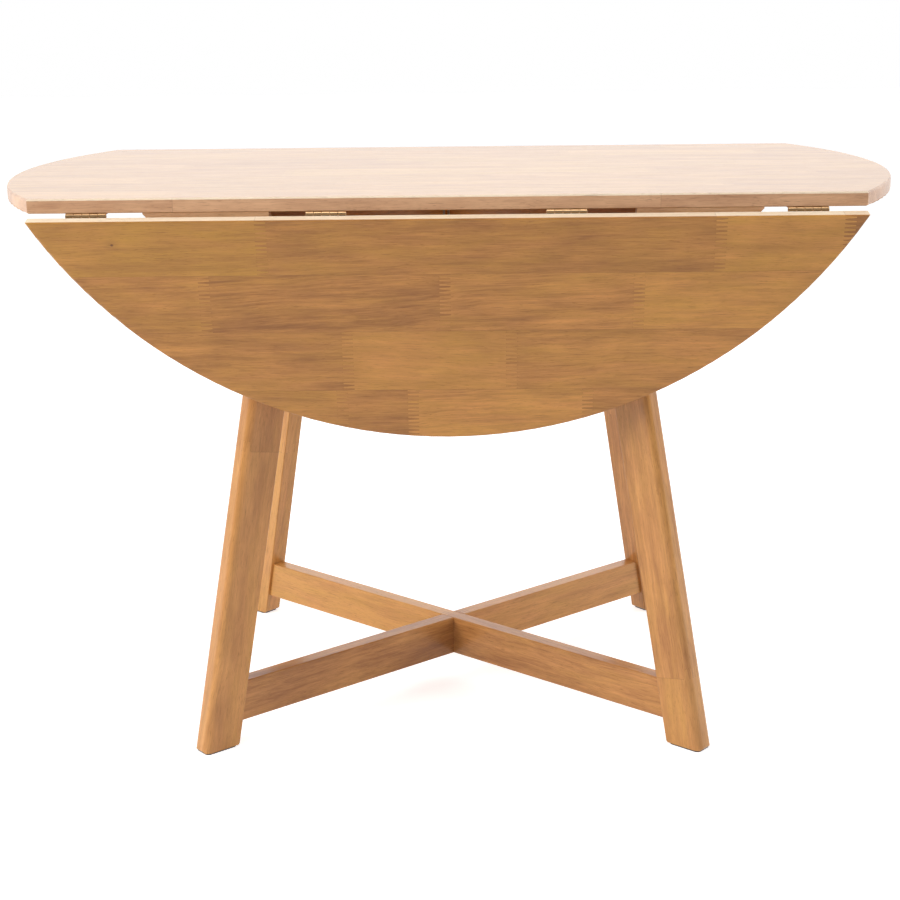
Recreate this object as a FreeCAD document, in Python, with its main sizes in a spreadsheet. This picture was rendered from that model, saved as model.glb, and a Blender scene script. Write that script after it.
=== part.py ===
import FreeCAD, Part
import math
import os

import Sketcher
from FreeCAD import Placement, Rotation, Vector

# Round drop-leaf table: a centre panel on a splayed cross frame, with a half-moon leaf hinged
# along each side. X runs along the hinge lines, -Y is the front, +Z is up, and the origin lies
# on the floor under the middle of the table. Lengths are millimetres, angles degrees.

DRIVING_SIZES = {
    # Table top: one disc cut into a centre panel and two leaves.
    "top_diameter": 1200.0,
    "table_height": 750.0,
    "top_thickness": 18.0,
    "panel_width": 600.0,
    "leaf_gap": 1.0,
    "edge_round": 2.5,
    "hinge_edge_ease": 0.6,
    "leaf_tilt": 12.0,
    # Splayed board legs on two diagonals of the floor plan. The setbacks are how far the feet
    # and the leg tops stay inside the hinge lines.
    "frame_angle": 40.35,
    "foot_setback": 27.4,
    "leg_top_setback": 117.4,
    "leg_width": 55.0,
    "leg_thickness": 31.0,
    "leg_round": 10.0,
    "leg_ease": 1.5,
    "foot_ease": 2.5,
    "pad_thickness": 2.0,
    "pad_inset": 1.0,
    "pad_round": 6.0,
    # Upper rails under the panel and lower stretchers between the legs.
    "rail_end_gap": 2.0,
    "rail_height": 56.0,
    "rail_thickness": 22.0,
    "rail_end_cut": 48.0,
    "stretcher_height": 56.0,
    "stretcher_thickness": 22.0,
    "stretcher_clear": 33.0,
    "beam_ease": 1.5,
    "lap_clearance": 0.1,
    "tenon_length": 25.0,
    "tenon_height": 36.0,
    "tenon_thickness": 10.0,
    "tenon_clearance": 0.1,
    "tenon_end_gap": 1.0,
    # Battens under the panel's hinge edges, outside the legs.
    "batten_height": 24.0,
    "batten_depth": 26.0,
    "batten_setback": 2.0,
    "batten_end_distance": 134.6,
    "batten_length": 157.0,
    "batten_shift": 8.0,
    "batten_end_cut": 22.0,
    "batten_screw_inset": 38.0,
    "batten_bore_diameter": 9.0,
    "batten_grip": 6.5,
    # Dowels between leg and rail, bolts between rail and panel.
    "dowel_diameter": 8.0,
    "dowel_length": 40.0,
    "dowel_spacing": 26.0,
    "dowel_clearance": 0.05,
    "dowel_end_gap": 1.0,
    "bolt_diameter": 6.0,
    "bolt_clearance": 0.25,
    "bolt_head_diameter": 10.0,
    "bolt_head_height": 6.0,
    "bolt_end_distance": 72.0,
    "bolt_tip_gap": 2.0,
    "washer_diameter": 14.0,
    "washer_thickness": 1.5,
    "counterbore_diameter": 16.0,
    "counterbore_depth": 24.0,
    "insert_diameter": 10.0,
    "insert_length": 12.0,
    "insert_clearance": 0.05,
    # Butt hinges: rolled and notched plates on a loose pin.
    "hinge_length": 50.0,
    "hinge_end_distance": 72.6,
    "plate_width": 16.0,
    "plate_thickness": 1.8,
    "plate_corner": 2.0,
    "barrel_diameter": 7.0,
    "barrel_gap": 0.3,
    "knuckle_gap": 0.7,
    "notch_gap": 0.5,
    "hinge_pin_diameter": 3.2,
    "hinge_pin_clearance": 0.05,
    "hinge_pin_overhang": 0.6,
    # Countersunk wood screws, shared by the hinges and the stay brackets.
    "screw_diameter": 3.4,
    "screw_head_diameter": 6.4,
    "screw_length": 14.0,
    "screw_clearance": 0.1,
    "screw_spread": 34.0,
    "screw_row": 9.2,
    "screw_stagger": 2.0,
    # Folding stays that hold the raised leaves.
    "stay_pivot_inset": 130.0,
    "stay_pivot_drop": 50.0,
    "shoe_reach": 115.0,
    "shoe_drop": 13.0,
    "arm_length": 125.0,
    "bar_width": 18.0,
    "bar_thickness": 3.0,
    "bar_gap": 0.4,
    "rivet_diameter": 6.0,
    "rivet_clearance": 0.05,
    "rivet_head_diameter": 12.5,
    "rivet_head_height": 1.8,
    "slot_play": 2.0,
    "slot_travel": 12.0,
    "clevis_gap": 0.3,
    "clevis_wall": 2.5,
    "clevis_foot_length": 52.0,
    "clevis_foot_width": 44.0,
    "clevis_root": 38.0,
    "clevis_corner": 5.0,
    "clevis_screw_spread": 28.0,
    "clevis_screw_pitch": 34.0,
}

KNUCKLES = 5
FLAT_SHARE = 1e-6
# A sketch counts its own axes downwards from -1, and the points of a line or arc upwards from 1.
X_AXIS, Y_AXIS = (-index for index in range(1, 3))
START, END, CENTRE = range(1, 4)

doc = FreeCAD.newDocument("drop_leaf_table")
sheet = doc.addObject("Spreadsheet::Sheet", "sizes")
for row, (name, number) in enumerate(DRIVING_SIZES.items(), start=1):
    sheet.set(f"A{row}", name)
    sheet.set(f"B{row}", str(number))
    sheet.setAlias(f"B{row}", name)
doc.recompute()


class Size:
    """A length with its present value and the sheet expression that gives it."""

    def __init__(self, value, text):
        self.value = value
        self.text = text

    @staticmethod
    def of(other):
        return other if isinstance(other, Size) else Size(float(other), repr(float(other)))

    def __add__(self, other):
        other = Size.of(other)
        return Size(self.value + other.value, f"({self.text} + {other.text})")

    def __sub__(self, other):
        other = Size.of(other)
        return Size(self.value - other.value, f"({self.text} - {other.text})")

    def __mul__(self, other):
        other = Size.of(other)
        return Size(self.value * other.value, f"({self.text} * {other.text})")

    def __truediv__(self, other):
        other = Size.of(other)
        return Size(self.value / other.value, f"({self.text} / {other.text})")

    def __neg__(self):
        return self * -1

    __rmul__ = __mul__


def root_of(size):
    return Size(math.sqrt(size.value), f"sqrt({size.text})")


def cosine(angle):
    return Size(math.cos(math.radians(angle.value)), f"cos({angle.text} * 1 deg)")


def sine(angle):
    return Size(math.sin(math.radians(angle.value)), f"sin({angle.text} * 1 deg)")


class Sheet:
    """The driving sizes by name."""


for name in DRIVING_SIZES:
    setattr(Sheet, name, Size(float(sheet.get(name)), f"sizes.{name}"))
s = Sheet
ZERO = Size(0.0, "0")

# Levels and places that several pieces share.
underside = s.table_height - s.top_thickness
rail_bottom = underside - s.rail_height
pivot_drop = s.barrel_diameter / 2 + s.barrel_gap
hinge_level = underside - pivot_drop
screw_radius = s.screw_diameter / 2
screw_hole_radius = screw_radius + s.screw_clearance
screw_head_height = (s.screw_head_diameter - s.screw_diameter) / 2
screw_sink = screw_head_height
bolt_seat = rail_bottom + s.counterbore_depth
frame_cos, frame_sin = cosine(s.frame_angle), sine(s.frame_angle)


def diagonal_reach(setback):
    """Distance from the table's axis along a diagonal to a point that far inside a hinge line."""
    return (s.panel_width / 2 - setback) / frame_sin


foot_radius = diagonal_reach(s.foot_setback)
leg_top_radius = diagonal_reach(s.leg_top_setback)
batten_back = s.batten_setback + s.batten_depth
rail_half_length = diagonal_reach(batten_back + s.rail_end_gap + s.rail_thickness * frame_cos / 2)
leg_slope = (leg_top_radius - foot_radius) / (rail_bottom - s.pad_thickness)
hinge_line_half = root_of(s.top_diameter * s.top_diameter / 4 - s.panel_width * s.panel_width / 4)
outer_hinge = hinge_line_half - s.hinge_end_distance
hinge_places = [outer_hinge * share for share in (-1, -1 / 3, 1 / 3, 1)]
batten_outer = hinge_line_half - s.batten_end_distance
batten_row = -(s.batten_setback + s.batten_depth / 2)
batten_sink = s.batten_height - s.batten_grip

pieces = []


def bind(item, path, size):
    item.setExpression(path, size.text)


def new_body(label, placement=Placement()):
    body = doc.addObject("PartDesign::Body", label)
    body.Label = label
    body.AllowCompound = True
    body.Placement = placement
    pieces.append(body)
    return body


def new_sketch(body, role, level=ZERO, turn=ZERO):
    """A sketch on one of the body's own planes, lifted along its normal and turned in it."""
    sketch = body.newObject("Sketcher::SketchObject", body.Label + "_sketch")
    plane = next(item for item in body.Origin.OriginFeatures if item.Role == role)
    sketch.AttachmentSupport = (plane, [""])
    sketch.MapMode = "FlatFace"
    bind(sketch, "AttachmentOffset.Base.z", level)
    bind(sketch, "AttachmentOffset.Rotation.Angle", turn)
    return sketch


def fix_point(sketch, element, point, x, y):
    """Hold a sketch point at x, y from the sketch's origin."""
    for kind, axis, size in (("DistanceX", Y_AXIS, x), ("DistanceY", X_AXIS, y)):
        if size is ZERO:
            sketch.addConstraint(Sketcher.Constraint("PointOnObject", element, point, axis))
            continue
        datum = Sketcher.Constraint(kind, X_AXIS, START, element, point, size.value)
        bind(sketch, f"Constraints[{sketch.addConstraint(datum)}]", size)


def fix_radius(sketch, element, radius):
    datum = Sketcher.Constraint("Radius", element, radius.value)
    bind(sketch, f"Constraints[{sketch.addConstraint(datum)}]", radius)


def join(sketch, first, first_point, second, second_point, kind="Coincident"):
    sketch.addConstraint(Sketcher.Constraint(kind, first, first_point, second, second_point))


def draw_polygon(sketch, corners):
    spots = [Vector(x.value, y.value, 0) for x, y in corners]
    lines = [sketch.addGeometry(Part.LineSegment(a, b)) for a, b in zip(spots, spots[1:] + spots[:1])]
    for line, following, (x, y) in zip(lines, lines[1:] + lines[:1], corners):
        join(sketch, line, END, following, START)
        fix_point(sketch, line, START, x, y)


def draw_box(sketch, x0, x1, y0, y1):
    draw_polygon(sketch, [(x0, y0), (x1, y0), (x1, y1), (x0, y1)])


def draw_circle(sketch, x, y, radius):
    circle = Part.Circle(Vector(x.value, y.value, 0), Vector(0, 0, 1), radius.value)
    element = sketch.addGeometry(circle)
    fix_point(sketch, element, CENTRE, x, y)
    fix_radius(sketch, element, radius)


def draw_arc(sketch, x, y, radius, first_angle, last_angle):
    """An arc with a fixed centre, drawn counter-clockwise between two angles in radians."""
    circle = Part.Circle(Vector(x.value, y.value, 0), Vector(0, 0, 1), radius.value)
    arc = Part.ArcOfCircle(circle, first_angle, last_angle)
    element = sketch.addGeometry(arc)
    fix_point(sketch, element, CENTRE, x, y)
    fix_radius(sketch, element, radius)
    return element


def draw_line(sketch, x0, y0, x1, y1):
    line = Part.LineSegment(Vector(x0, y0, 0), Vector(x1, y1, 0))
    return sketch.addGeometry(line)


def draw_slot(sketch, x0, x1, radius):
    """A slot with round ends, centred on the sketch's X axis from x0 to x1."""
    quarter = math.pi / 2
    low = draw_arc(sketch, x0, ZERO, radius, quarter, 3 * quarter)
    high = draw_arc(sketch, x1, ZERO, radius, -quarter, quarter)
    upper = draw_line(sketch, x1.value, radius.value, x0.value, radius.value)
    lower = draw_line(sketch, x0.value, -radius.value, x1.value, -radius.value)
    join(sketch, high, END, upper, START, "Tangent")
    join(sketch, upper, END, low, START, "Tangent")
    join(sketch, low, END, lower, START, "Coincident")
    join(sketch, lower, END, high, START, "Coincident")


def add_pad(body, sketch, length, both_ways=False, taper=0.0):
    pad = body.newObject("PartDesign::Pad", body.Label + "_pad")
    pad.Profile = sketch
    bind(pad, "Length", length)
    pad.SideType = "Symmetric" if both_ways else "One side"
    pad.TaperAngle = taper
    doc.recompute()
    return pad


def add_pocket(body, sketch, depth, both_ways=False, upward=False):
    before = body.Shape.Volume
    pocket = body.newObject("PartDesign::Pocket", body.Label + "_pocket")
    pocket.Profile = sketch
    bind(pocket, "Length", depth)
    pocket.SideType = "Symmetric" if both_ways else "One side"
    pocket.Reversed = upward
    doc.recompute()
    if not body.Shape.Volume < before:
        raise RuntimeError(f"{pocket.Label} cuts nothing")
    return pocket


def dress_edges(body, kind, size, wanted):
    """Round or bevel the edges of the body's present shape that pass the test."""
    base = body.Tip
    names = [f"Edge{i}" for i, edge in enumerate(base.Shape.Edges, start=1) if wanted(edge)]
    if not names:
        raise RuntimeError(f"{body.Label} has no such edges")
    dress = body.newObject(f"PartDesign::{kind}", f"{body.Label}_{kind.lower()}")
    dress.Base = (base, names)
    bind(dress, "Radius" if kind == "Fillet" else "Size", size)
    doc.recompute()
    return dress


def is_level(edge):
    return edge.BoundBox.ZLength < FLAT_SHARE * s.table_height.value


def is_straight(edge):
    return edge.BoundBox.YLength < FLAT_SHARE * s.panel_width.value


def near(value, size):
    return abs(value - size.value) < FLAT_SHARE * s.table_height.value


# Where the screws pass through one hinge plate: x along the hinge, y away from its axis.
plate_screws = [
    (-(s.screw_spread / 2), s.screw_row),
    (ZERO, s.screw_row + s.screw_stagger),
    (s.screw_spread / 2, s.screw_row),
]
hinge_screws = [(place + x, y) for place in hinge_places for x, y in plate_screws]
# Where the screws pass through a stay bracket's foot, from the middle of the foot.
foot_screws = [
    (s.clevis_screw_spread * x / 2, s.clevis_screw_pitch * y / 2) for x in (-1, 1) for y in (-1, 1)
]
# Where the screws pass through the battens: x along the hinge line, y from it.
batten_screws = [
    (end * side - s.batten_shift, batten_row)
    for side in (-1, 1)
    for end in (batten_outer - s.batten_screw_inset, batten_outer - s.batten_length + s.batten_screw_inset)
]
bar_offset = (s.bar_thickness + s.bar_gap) / 2
rail_bolts = [leg_top_radius / 2, rail_half_length - s.bolt_end_distance]
bolt_spots = [
    (reach * frame_cos * x, reach * frame_sin * y)
    for reach in rail_bolts for x in (-1, 1) for y in (-1, 1)
]


def across(size, side):
    """A distance from the table's middle towards the front (-1) or the rear (+1)."""
    return size * side


# The same screws under the panel, from the table's middle.
panel_plate_spots, stay_spots, batten_spots = [], [], []
for side in (-1, 1):
    middle = across(s.panel_width / 2 - s.stay_pivot_inset, side)
    stay_spots += [(x + bar_offset * side, middle + y) for x, y in foot_screws]
    panel_plate_spots += [(x, across(s.panel_width / 2 - y, side)) for x, y in hinge_screws]
    batten_spots += [(across(x, side), across(s.panel_width / 2 + y, side)) for x, y in batten_screws]


def screw_holes(body, level, spots, depth):
    """Pilot holes for countersunk screws that enter upwards."""
    sketch = new_sketch(body, "XY_Plane", level)
    for x, y in spots:
        draw_circle(sketch, x, y, screw_hole_radius)
    return add_pocket(body, sketch, depth, upward=True)


def screw_group(label, head_level, spots, placement=Placement()):
    """Countersunk wood screws, heads down, each a solid of its own."""
    body = new_body(label, placement)
    shanks = new_sketch(body, "XY_Plane", head_level)
    for x, y in spots:
        draw_circle(shanks, x, y, screw_radius)
    add_pad(body, shanks, s.screw_length)
    heads = new_sketch(body, "XY_Plane", head_level)
    for x, y in spots:
        draw_circle(heads, x, y, s.screw_head_diameter / 2)
    add_pad(body, heads, screw_head_height, taper=-45.0)
    return body


# The centre panel: a strip of the disc with straight hinge edges and curved ends.
def centre_panel():
    body = new_body("centre_panel")
    edge = s.panel_width / 2 - s.leaf_gap / 2
    radius = s.top_diameter / 2
    end = math.asin(edge.value / radius.value)
    corner = math.sqrt(radius.value**2 - edge.value**2)
    sketch = new_sketch(body, "XY_Plane", underside)
    right = draw_arc(sketch, ZERO, ZERO, radius, -end, end)
    left = draw_arc(sketch, ZERO, ZERO, radius, math.pi - end, math.pi + end)
    rear = draw_line(sketch, corner, edge.value, -corner, edge.value)
    front = draw_line(sketch, -corner, -edge.value, corner, -edge.value)
    join(sketch, right, END, rear, START)
    join(sketch, rear, END, left, START)
    join(sketch, left, END, front, START)
    join(sketch, front, END, right, START)
    for line, size in ((rear, edge), (front, -edge)):
        sketch.addConstraint(Sketcher.Constraint("Horizontal", line))
        datum = Sketcher.Constraint("DistanceY", X_AXIS, START, line, START, size.value)
        bind(sketch, f"Constraints[{sketch.addConstraint(datum)}]", size)
    add_pad(body, sketch, s.top_thickness)
    dress_edges(body, "Chamfer", s.hinge_edge_ease, lambda edge: is_level(edge) and is_straight(edge))
    dress_edges(body, "Fillet", s.edge_round, lambda edge: is_level(edge) and not is_straight(edge))
    screw_holes(body, underside, panel_plate_spots + stay_spots, s.screw_length)
    screw_holes(body, underside, batten_spots, s.screw_length - s.batten_grip)
    sketch = new_sketch(body, "XY_Plane", underside)
    for x, y in bolt_spots:
        draw_circle(sketch, x, y, s.insert_diameter / 2 + s.insert_clearance)
    add_pocket(body, sketch, s.insert_length, upward=True)


# A leaf: the half-moon left of the disc, drawn flat with the hinge axis along X at its origin
# and +Y pointing away from the panel.
def leaf(label, placement):
    body = new_body(label, placement)
    edge = s.leaf_gap / 2
    radius = s.top_diameter / 2
    depth = s.panel_width / 2
    half = math.asin((depth + edge).value / radius.value)
    corner = math.sqrt(radius.value**2 - (depth + edge).value ** 2)
    sketch = new_sketch(body, "XY_Plane", pivot_drop)
    arc = draw_arc(sketch, ZERO, -depth, radius, half, math.pi - half)
    line = draw_line(sketch, -corner, edge.value, corner, edge.value)
    join(sketch, arc, END, line, START)
    join(sketch, line, END, arc, START)
    sketch.addConstraint(Sketcher.Constraint("Horizontal", line))
    datum = Sketcher.Constraint("DistanceY", X_AXIS, START, line, START, edge.value)
    bind(sketch, f"Constraints[{sketch.addConstraint(datum)}]", edge)
    add_pad(body, sketch, s.top_thickness)
    dress_edges(body, "Chamfer", s.hinge_edge_ease, lambda edge: is_level(edge) and is_straight(edge))
    dress_edges(body, "Fillet", s.edge_round, lambda edge: is_level(edge) and not is_straight(edge))
    spots = list(hinge_screws)
    spots += [(x - bar_offset, s.shoe_reach + y) for x, y in foot_screws]
    screw_holes(body, pivot_drop, spots, s.screw_length)


# A batten that stiffens the panel's hinge edge beside a leg, drawn in the hinge line's frame: its
# outer end is cut back underneath, and its screws sit in deep holes from below.
def batten(label, side, placement):
    body = new_body(label, placement)
    outer, inner = batten_outer * side, (batten_outer - s.batten_length) * side
    shift, cut = -s.batten_shift, s.batten_end_cut * side
    top, bottom = pivot_drop, pivot_drop - s.batten_height
    sketch = new_sketch(body, "XZ_Plane", s.batten_setback)
    draw_polygon(sketch, [
        (outer + shift, top), (inner + shift, top), (inner + shift, bottom),
        (outer + shift - cut, bottom), (outer + shift, bottom + s.batten_end_cut),
    ])
    add_pad(body, sketch, s.batten_depth)
    dress_edges(body, "Fillet", s.beam_ease, lambda edge: near(edge.CenterOfMass.z, bottom)
                and edge.BoundBox.XLength > s.batten_length.value / 2)
    for radius, depth in ((screw_hole_radius, s.batten_height), (s.batten_bore_diameter / 2, batten_sink)):
        sketch = new_sketch(body, "XY_Plane", bottom)
        for x, y in batten_screws:
            if x.value * side > 0:
                draw_circle(sketch, x, y, radius)
        add_pocket(body, sketch, depth, upward=True)
    dress_edges(body, "Chamfer", screw_sink, lambda edge: near(edge.CenterOfMass.z, bottom + batten_sink)
                and edge.Closed and edge.BoundBox.XLength < s.screw_head_diameter.value)


# A crossing beam of the frame, drawn along X with its length in the middle: half of its height
# is notched away at the centre, where the other beam of the pair crosses it.
def lap_notch(body, bottom, height, thickness, notch_on_top):
    turn = s.frame_angle * (-2 if notch_on_top else 2)
    sketch = new_sketch(body, "XY_Plane", bottom + height / 2, turn)
    reach, half = thickness * 2, thickness / 2 + s.lap_clearance
    draw_box(sketch, -reach, reach, -half, half)
    add_pocket(body, sketch, height, upward=notch_on_top)


def along_beam(edge):
    return edge.BoundBox.XLength > foot_radius.value / 4 and edge.BoundBox.YLength < s.beam_ease.value


def rail(label, notch_on_top, placement):
    body = new_body(label, placement)
    half, cut = rail_half_length, s.rail_end_cut
    sketch = new_sketch(body, "XZ_Plane")
    draw_polygon(sketch, [
        (half, underside), (-half, underside), (-half, rail_bottom + cut), (cut - half, rail_bottom),
        (half - cut, rail_bottom), (half, rail_bottom + cut),
    ])
    add_pad(body, sketch, s.rail_thickness, both_ways=True)
    dress_edges(body, "Fillet", s.beam_ease,
                lambda edge: along_beam(edge) and near(edge.CenterOfMass.z, rail_bottom))
    lap_notch(body, rail_bottom, s.rail_height, s.rail_thickness, notch_on_top)
    dowels = new_sketch(body, "XY_Plane", rail_bottom)
    bolts = new_sketch(body, "XY_Plane", rail_bottom)
    bores = new_sketch(body, "XY_Plane", rail_bottom)
    for side in (-1, 1):
        for step in (-1, 1):
            place = (leg_top_radius + s.dowel_spacing * step / 2) * side
            draw_circle(dowels, place, ZERO, s.dowel_diameter / 2 + s.dowel_clearance)
        for reach in rail_bolts:
            draw_circle(bolts, reach * side, ZERO, s.bolt_diameter / 2 + s.bolt_clearance)
            draw_circle(bores, reach * side, ZERO, s.counterbore_diameter / 2)
    add_pocket(body, dowels, s.dowel_length / 2 + s.dowel_end_gap, upward=True)
    add_pocket(body, bolts, s.rail_height, upward=True)
    add_pocket(body, bores, s.counterbore_depth, upward=True)


def leg_face(level, side):
    """How far from the table's axis the inner (-1) or outer (+1) face of a leg is at a level."""
    return foot_radius + s.leg_width * side / 2 + leg_slope * (level - s.pad_thickness)


def leg_inner_face(level):
    return leg_face(level, -1)


tenon_low = s.stretcher_clear + (s.stretcher_height - s.tenon_height) / 2
tenon_high = tenon_low + s.tenon_height


def stretcher(label, notch_on_top, placement):
    body = new_body(label, placement)
    low, high = s.stretcher_clear, s.stretcher_clear + s.stretcher_height
    sketch = new_sketch(body, "XZ_Plane")
    draw_polygon(sketch, [
        (leg_inner_face(high), high), (-leg_inner_face(high), high),
        (-leg_inner_face(low), low), (leg_inner_face(low), low),
    ])
    add_pad(body, sketch, s.stretcher_thickness, both_ways=True)
    dress_edges(body, "Fillet", s.beam_ease, along_beam)
    sketch = new_sketch(body, "XZ_Plane")
    upper, lower = (leg_inner_face(level) + s.tenon_length for level in (tenon_high, tenon_low))
    draw_polygon(sketch, [(upper, tenon_high), (-upper, tenon_high), (-lower, tenon_low), (lower, tenon_low)])
    add_pad(body, sketch, s.tenon_thickness, both_ways=True)
    lap_notch(body, low, s.stretcher_height, s.stretcher_thickness, notch_on_top)


# A leg: a board leaning outwards along its diagonal, drawn with X pointing out from the table's
# axis. Its outer edges are rounded, its foot is cut level and its inner edge is mortised.
def leg(label, placement):
    body = new_body(label, placement)
    half = s.leg_width / 2
    ground, eased = s.pad_thickness, s.pad_thickness + s.foot_ease
    sketch = new_sketch(body, "XZ_Plane")
    draw_polygon(sketch, [
        (leg_face(ground, -1) + s.foot_ease, ground), (leg_face(ground, 1) - s.foot_ease, ground),
        (leg_face(eased, 1), eased), (leg_face(rail_bottom, 1), rail_bottom),
        (leg_face(rail_bottom, -1), rail_bottom), (leg_face(eased, -1), eased),
    ])
    add_pad(body, sketch, s.leg_thickness, both_ways=True)
    middle = (foot_radius + leg_top_radius) / 2
    tall = rail_bottom.value / 2
    for size, side in ((s.leg_round, 1), (s.leg_ease, -1)):
        dress_edges(body, "Fillet", size, lambda edge: edge.BoundBox.ZLength > tall
                    and edge.BoundBox.YLength < FLAT_SHARE * tall
                    and (edge.CenterOfMass.x - middle.value) * side > half.value / 2
                    and near(abs(edge.CenterOfMass.y), s.leg_thickness / 2))
    sketch = new_sketch(body, "XZ_Plane")
    low, high = tenon_low - s.tenon_clearance, tenon_high + s.tenon_clearance
    depth = s.tenon_length + s.tenon_end_gap
    mouth = s.leg_width / 2
    draw_polygon(sketch, [
        (leg_inner_face(low) - mouth, low), (leg_inner_face(low) + depth, low),
        (leg_inner_face(high) + depth, high), (leg_inner_face(high) - mouth, high),
    ])
    add_pocket(body, sketch, s.tenon_thickness + s.tenon_clearance * 2, both_ways=True)
    sketch = new_sketch(body, "XY_Plane", rail_bottom)
    for step in (-1, 1):
        place = leg_top_radius + s.dowel_spacing * step / 2
        draw_circle(sketch, place, ZERO, s.dowel_diameter / 2 + s.dowel_clearance)
    add_pocket(body, sketch, s.dowel_length / 2 + s.dowel_end_gap)


def foot_pad(label, placement):
    body = new_body(label, placement)
    sketch = new_sketch(body, "XY_Plane")
    length = s.leg_width / 2 - s.foot_ease - s.pad_inset
    width = s.leg_thickness / 2 - s.pad_inset
    draw_box(sketch, foot_radius - length, foot_radius + length, -width, width)
    add_pad(body, sketch, s.pad_thickness)
    dress_edges(body, "Fillet", s.pad_round, lambda edge: not is_level(edge))


# Dowels stand half in the legs and half in the rails.
def leg_dowels():
    body = new_body("leg_dowels")
    sketch = new_sketch(body, "XY_Plane", rail_bottom - s.dowel_length / 2)
    for step in (-1, 1):
        reach = leg_top_radius + s.dowel_spacing * step / 2
        for x in (-1, 1):
            for y in (-1, 1):
                draw_circle(sketch, reach * frame_cos * x, reach * frame_sin * y, s.dowel_diameter / 2)
    add_pad(body, sketch, s.dowel_length)


def discs(body, level, height, radius, hole=None):
    """A row of equal discs or rings, one on each bolt."""
    sketch = new_sketch(body, "XY_Plane", level)
    for x, y in bolt_spots:
        draw_circle(sketch, x, y, radius)
        if hole:
            draw_circle(sketch, x, y, hole)
    add_pad(body, sketch, height)


# Bolts rise through the rails from their counterbores into threaded inserts in the panel.
def rail_fixings():
    under_washer = bolt_seat - s.washer_thickness
    bolts = new_body("panel_bolts")
    discs(bolts, under_washer - s.bolt_head_height, s.bolt_head_height, s.bolt_head_diameter / 2)
    shank = underside + s.insert_length - s.bolt_tip_gap - under_washer
    discs(bolts, under_washer, shank, s.bolt_diameter / 2)
    hole = s.bolt_diameter / 2 + s.bolt_clearance
    discs(new_body("bolt_washers"), under_washer, s.washer_thickness, s.washer_diameter / 2, hole)
    bore = s.bolt_diameter / 2 + s.insert_clearance
    discs(new_body("threaded_inserts"), underside, s.insert_length, s.insert_diameter / 2, bore)


# One plate of a butt hinge, drawn about its axis on X: a strip rolled round the pin, seated on
# the wood at pivot_drop, with the turns of the other plate notched away.
def hinge_plate(label, own_turns, placement):
    body = new_body(label, placement)
    barrel = s.barrel_diameter / 2
    outer = pivot_drop - s.plate_thickness
    meeting = root_of(barrel * barrel - outer * outer)
    sketch = new_sketch(body, "YZ_Plane")
    first = math.atan2(outer.value, meeting.value)
    curl = draw_arc(sketch, ZERO, ZERO, barrel, math.pi / 2, 2 * math.pi + first)
    corners = [
        (ZERO, barrel), (ZERO, pivot_drop), (s.plate_width, pivot_drop), (s.plate_width, outer),
        (meeting, outer),
    ]
    lines = []
    for (x0, y0), (x1, y1) in zip(corners, corners[1:]):
        lines.append(draw_line(sketch, x0.value, y0.value, x1.value, y1.value))
    join(sketch, curl, START, lines[0], START)
    join(sketch, lines[-1], END, curl, END)
    for line, following in zip(lines, lines[1:]):
        join(sketch, line, END, following, START)
    sketch.addConstraint(Sketcher.Constraint("PointOnObject", lines[0], START, Y_AXIS))
    for line, (x, y) in zip(lines[1:], corners[1:]):
        fix_point(sketch, line, START, x, y)
    sketch.addConstraint(Sketcher.Constraint("Horizontal", lines[-1]))
    draw_circle(sketch, ZERO, ZERO, s.hinge_pin_diameter / 2 + s.hinge_pin_clearance)
    add_pad(body, sketch, s.hinge_length, both_ways=True)
    dress_edges(body, "Fillet", s.plate_corner, lambda edge: near(edge.CenterOfMass.y, s.plate_width)
                and edge.BoundBox.XLength < FLAT_SHARE * s.hinge_length.value)
    sketch = new_sketch(body, "XY_Plane")
    turn = s.hinge_length / KNUCKLES
    for i in range(KNUCKLES):
        if i not in own_turns:
            start = turn * (i - KNUCKLES / 2)
            draw_box(sketch, start - s.knuckle_gap / 2, start + turn + s.knuckle_gap / 2,
                     -s.barrel_diameter, barrel + s.notch_gap)
    add_pocket(body, sketch, s.barrel_diameter * 2, both_ways=True)
    sketch = new_sketch(body, "XY_Plane")
    for x, y in plate_screws:
        draw_circle(sketch, x, y, screw_hole_radius)
    add_pocket(body, sketch, s.barrel_diameter * 2, both_ways=True)
    dress_edges(body, "Chamfer", screw_sink, lambda edge: is_level(edge)
                and near(edge.CenterOfMass.z, outer) and edge.Closed)


def hinge_pins():
    """All the pins, which stay with the panel's plates."""
    body = new_body("hinge_pins")
    for side in (-1, 1):
        for place in hinge_places:
            sketch = new_sketch(body, "YZ_Plane", place)
            draw_circle(sketch, across(s.panel_width / 2, side), hinge_level, s.hinge_pin_diameter / 2)
            add_pad(body, sketch, s.hinge_length + s.hinge_pin_overhang * 2, both_ways=True)
    dress_edges(body, "Fillet", s.hinge_pin_overhang, lambda edge: edge.Closed)


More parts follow.
